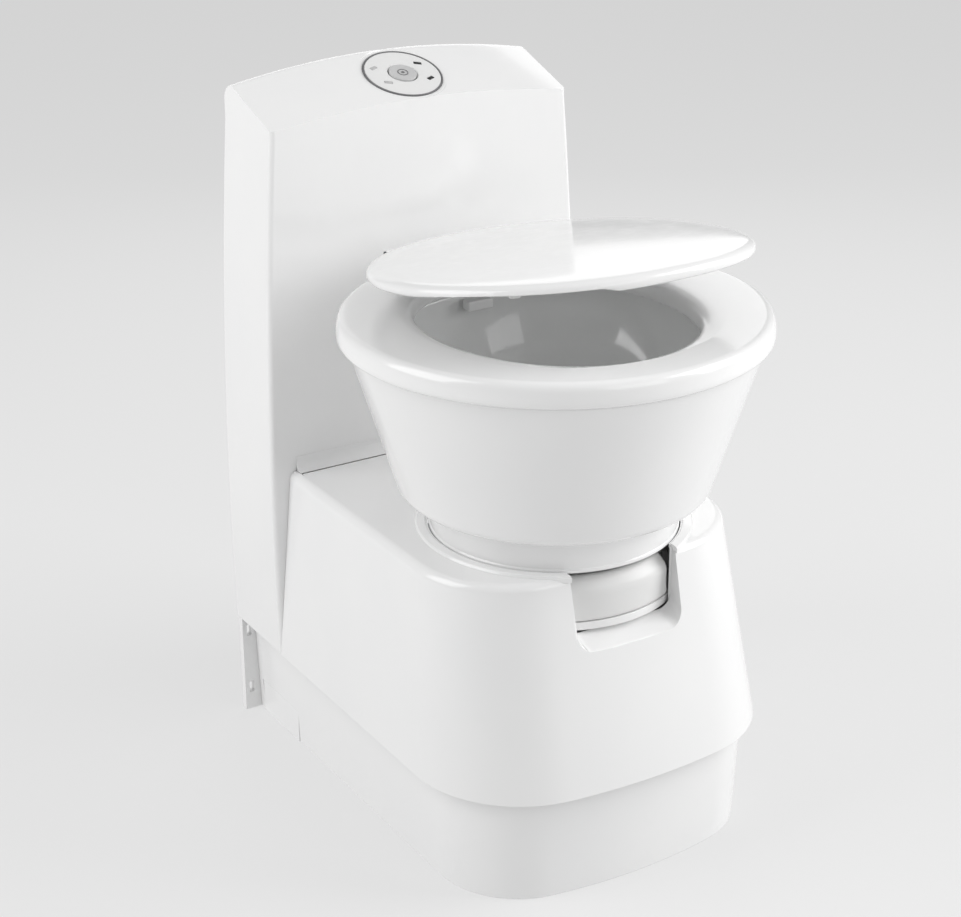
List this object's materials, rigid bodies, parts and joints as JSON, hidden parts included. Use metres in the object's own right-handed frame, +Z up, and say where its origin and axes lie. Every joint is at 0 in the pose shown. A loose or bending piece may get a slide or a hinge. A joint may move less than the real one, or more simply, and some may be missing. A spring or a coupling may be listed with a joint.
{
  "type": "cassette toilet",
  "caption": "Swivel-bowl cassette toilet: tall console with flush panel, round bowl with seat and lid, slide-valve lever, and a wheeled waste tank drawn out at the back.",
  "frame": {"origin": "middle of the footprint on the floor", "axes": "+Z up, -Y towards the user, +Y towards the wall, +X to the right of someone facing the wall"},
  "size_m": [0.458, 0.607, 0.7962],
  "materials": {
    "white_gloss": "glossy moulded white",
    "seat_white": "satin gloss white",
    "ceramic": "white glaze",
    "light_grey": "fine satin",
    "mid_grey": "satin",
    "panel_grey": "fine matt film",
    "black_plastic": "satin black",
    "rubber": "matt black",
    "hose_grey": "soft grey hose",
    "tank_grey": "blow-moulded satin",
    "steel": "bright zinc",
    "board_green": "solder mask",
    "water_tank": "natural translucent white"
  },
  "bodies": {
    "base": {"plinth": "white_gloss", "fixing_cover_left": "white_gloss", "fixing_cover_right": "white_gloss", "base_cover": "white_gloss", "console_shell": "white_gloss", "rear_panel": "white_gloss", "flush_water_tank": "water_tank", "water_pump": "black_plastic", "flush_hose": "hose_grey", "hose_union": "mid_grey", "control_bezel": "mid_grey", "control_panel": "panel_grey", "tank_full_lamp": "black_plastic", "water_low_lamp": "black_plastic", "power_lamp": "black_plastic", "flush_lamp": "black_plastic", "control_board": "board_green", "button_spring": "steel", "bowl_carrier": "light_grey", "swivel_bearing": "black_plastic", "lever_guide": "white_gloss", "floor_screw_1": "steel", "floor_screw_2": "steel", "floor_screw_3": "steel", "floor_screw_4": "steel"},
    "filler_cap": {"water_filler_cap": "white_gloss"},
    "button": {"flush_button": "light_grey"},
    "bowl": {"bowl_shell": "white_gloss", "bowl_inlay": "ceramic", "outlet_pipe": "light_grey", "outlet_seal": "rubber", "flush_nozzle": "white_gloss", "hinge_block": "white_gloss", "hinge_pin": "steel"},
    "seat": {"seat": "seat_white", "seat_bumper_front_left": "rubber", "seat_bumper_front_right": "rubber", "seat_bumper_rear_left": "rubber", "seat_bumper_rear_right": "rubber"},
    "lid": {"lid": "seat_white", "lid_bumper_left": "light_grey", "lid_bumper_right": "light_grey"},
    "lever": {"valve_lever": "light_grey", "lever_ring": "light_grey"},
    "waste_tank": {"holding_tank": "tank_grey", "latch_striker": "steel", "valve_housing": "mid_grey", "lip_seal": "rubber"},
    "blade": {"slide_blade": "tank_grey"},
    "spout": {"pour_spout": "tank_grey"},
    "spout_cap": {"spout_cap": "black_plastic"},
    "vent": {"vent_button": "black_plastic"},
    "wheels": {"tank_wheel_left": "black_plastic", "tank_wheel_right": "black_plastic", "wheel_axle": "steel"},
    "pull": {"pull_handle": "black_plastic"},
    "grip": {"carry_handle": "black_plastic"},
    "latch": {"tank_latch": "black_plastic"},
    "level_float": {"level_float": "black_plastic"}
  },
  "joints": [
    {"name": "filler_cap_turn", "type": "hinge", "parent": "base", "child": "filler_cap", "pos_m": [0.105, 0.296, 0.6], "axis": [0, 1, 0], "range_deg": [0, 90]},
    {"name": "flush_button_press", "type": "slide", "parent": "base", "child": "button", "axis": [0, 0.355, -0.9348], "range_m": [0, 0.0015], "stiffness_N_per_m": 300},
    {"name": "bowl_swivel", "type": "hinge", "parent": "base", "child": "bowl", "pos_m": [0, -0.078, 0.36], "axis": [0, 0, 1], "range_deg": [-90, 90]},
    {"name": "seat_hinge", "type": "hinge", "parent": "bowl", "child": "seat", "pos_m": [0, 0.134, 0.6045], "axis": [-1, 0, 0], "range_deg": [0, 92]},
    {"name": "lid_hinge", "type": "hinge", "parent": "seat", "child": "lid", "pos_m": [0, 0.134, 0.6045], "axis": [1, 0, 0], "range_deg": [-85, 10.5]},
    {"name": "lever_slide", "type": "hinge", "parent": "base", "child": "lever", "pos_m": [0, -0.078, 0.32], "axis": [0, 0, -1], "range_deg": [0, 40]},
    {"name": "tank_slide", "type": "slide", "parent": "base", "child": "waste_tank", "axis": [0, 1, 0], "range_m": [0, 0.47]},
    {"name": "blade_slide", "type": "slide", "parent": "waste_tank", "child": "blade", "axis": [0, 1, 0], "range_m": [0, 0.097]},
    {"name": "spout_swivel", "type": "hinge", "parent": "waste_tank", "child": "spout", "pos_m": [-0.115, 0.235, 0.21], "axis": [0, 0, 1], "range_deg": [0, 90]},
    {"name": "spout_cap_turn", "type": "hinge", "parent": "spout", "child": "spout_cap", "pos_m": [-0.003, 0.235, 0.2185], "axis": [1, 0, 0], "range_deg": [0, 120]},
    {"name": "vent_press", "type": "slide", "parent": "waste_tank", "child": "vent", "axis": [0, 0, -1], "range_m": [0, 0.003], "stiffness_N_per_m": 300},
    {"name": "wheel_spin", "type": "hinge", "parent": "waste_tank", "child": "wheels", "pos_m": [0, -0.128, 0.0223], "axis": [1, 0, 0], "continuous": true},
    {"name": "pull_handle_slide", "type": "slide", "parent": "waste_tank", "child": "pull", "axis": [0, 1, 0], "range_m": [0, 0.28]},
    {"name": "carry_handle_fold", "type": "hinge", "parent": "waste_tank", "child": "grip", "pos_m": [0, 0.2915, 0.112], "axis": [1, 0, 0], "range_deg": [0, 90]},
    {"name": "latch_slide", "type": "slide", "parent": "base", "child": "latch", "axis": [0, 0, -1], "range_m": [0, 0.01]},
    {"name": "float_swing", "type": "hinge", "parent": "waste_tank", "child": "level_float", "pos_m": [0.1125, 0.228, 0.038], "axis": [-1, 0, 0], "range_deg": [0, 40]}
  ],
  "couplings": [
    {"joint": "blade_slide", "follows": "lever_slide", "m_per_rad": 0.1389}
  ]
}
